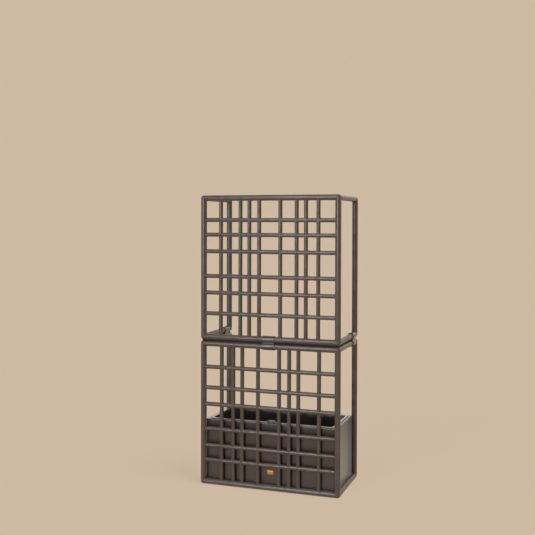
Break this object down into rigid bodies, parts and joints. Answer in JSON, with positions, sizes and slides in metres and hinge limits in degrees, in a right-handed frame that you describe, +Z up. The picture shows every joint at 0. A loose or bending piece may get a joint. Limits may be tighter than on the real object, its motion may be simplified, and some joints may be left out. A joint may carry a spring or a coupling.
{
  "type": "divider planter",
  "caption": "Free-standing room divider of stacked tube cages with a lattice front, held together by clamps, over a planter box with a lift-out liner.",
  "frame": {"origin": "on the floor under the middle of the bounding box", "axes": "+Z up; the lattice front faces -Y and the open back faces +Y; +X to the right seen from the front"},
  "size_m": [0.8082, 0.414, 1.608],
  "materials": {
    "frame_coat": "satin",
    "lattice_coat": "satin",
    "clamp_coat": "satin",
    "screw_steel": "polished",
    "box_coat": "satin",
    "liner_plastic": "matte",
    "gasket_rubber": "matte",
    "glide_plastic": "matte"
  },
  "bodies": {
    "cage": {"lower_post_fl": "frame_coat", "lower_post_fr": "frame_coat", "lower_post_bl": "frame_coat", "lower_post_br": "frame_coat", "lower_rail_top": "frame_coat", "lower_rail_bottom": "frame_coat", "lower_side_top_l": "frame_coat", "lower_side_top_r": "frame_coat", "lower_side_bottom_l": "frame_coat", "lower_side_bottom_r": "frame_coat", "upper_post_fl": "frame_coat", "upper_post_fr": "frame_coat", "upper_post_bl": "frame_coat", "upper_post_br": "frame_coat", "upper_rail_top": "frame_coat", "upper_rail_bottom": "frame_coat", "upper_side_top_l": "frame_coat", "upper_side_top_r": "frame_coat", "upper_side_bottom_l": "frame_coat", "upper_side_bottom_r": "frame_coat", "lower_crossbar_1": "lattice_coat", "lower_crossbar_2": "lattice_coat", "lower_crossbar_3": "lattice_coat", "lower_crossbar_4": "lattice_coat", "lower_crossbar_5": "lattice_coat", "lower_crossbar_6": "lattice_coat", "lower_upright_1": "lattice_coat", "lower_upright_2": "lattice_coat", "lower_upright_3": "lattice_coat", "lower_upright_4": "lattice_coat", "lower_upright_5": "lattice_coat", "lower_upright_6": "lattice_coat", "lower_upright_7": "lattice_coat", "lower_upright_8": "lattice_coat", "upper_crossbar_1": "lattice_coat", "upper_crossbar_2": "lattice_coat", "upper_crossbar_3": "lattice_coat", "upper_crossbar_4": "lattice_coat", "upper_crossbar_5": "lattice_coat", "upper_crossbar_6": "lattice_coat", "upper_upright_1": "lattice_coat", "upper_upright_2": "lattice_coat", "upper_upright_3": "lattice_coat", "upper_upright_4": "lattice_coat", "upper_upright_5": "lattice_coat", "upper_upright_6": "lattice_coat", "upper_upright_7": "lattice_coat", "upper_upright_8": "lattice_coat", "clamp_front_outer": "clamp_coat", "clamp_front_inner": "clamp_coat", "clamp_left_outer": "clamp_coat", "clamp_left_inner": "clamp_coat", "clamp_right_outer": "clamp_coat", "clamp_right_inner": "clamp_coat", "clamp_screws": "screw_steel", "stack_gaskets": "gasket_rubber", "bearers": "frame_coat", "glides": "glide_plastic"},
    "planter": {"planter_shell": "box_coat"},
    "liner": {"liner": "liner_plastic"}
  },
  "joints": [
    {"name": "planter_lift", "type": "slide", "parent": "cage", "child": "planter", "axis": [0, 0, 1], "range_m": [0, 0.38]},
    {"name": "liner_lift", "type": "slide", "parent": "planter", "child": "liner", "axis": [0, 0, 1], "range_m": [0, 0.33]}
  ]
}
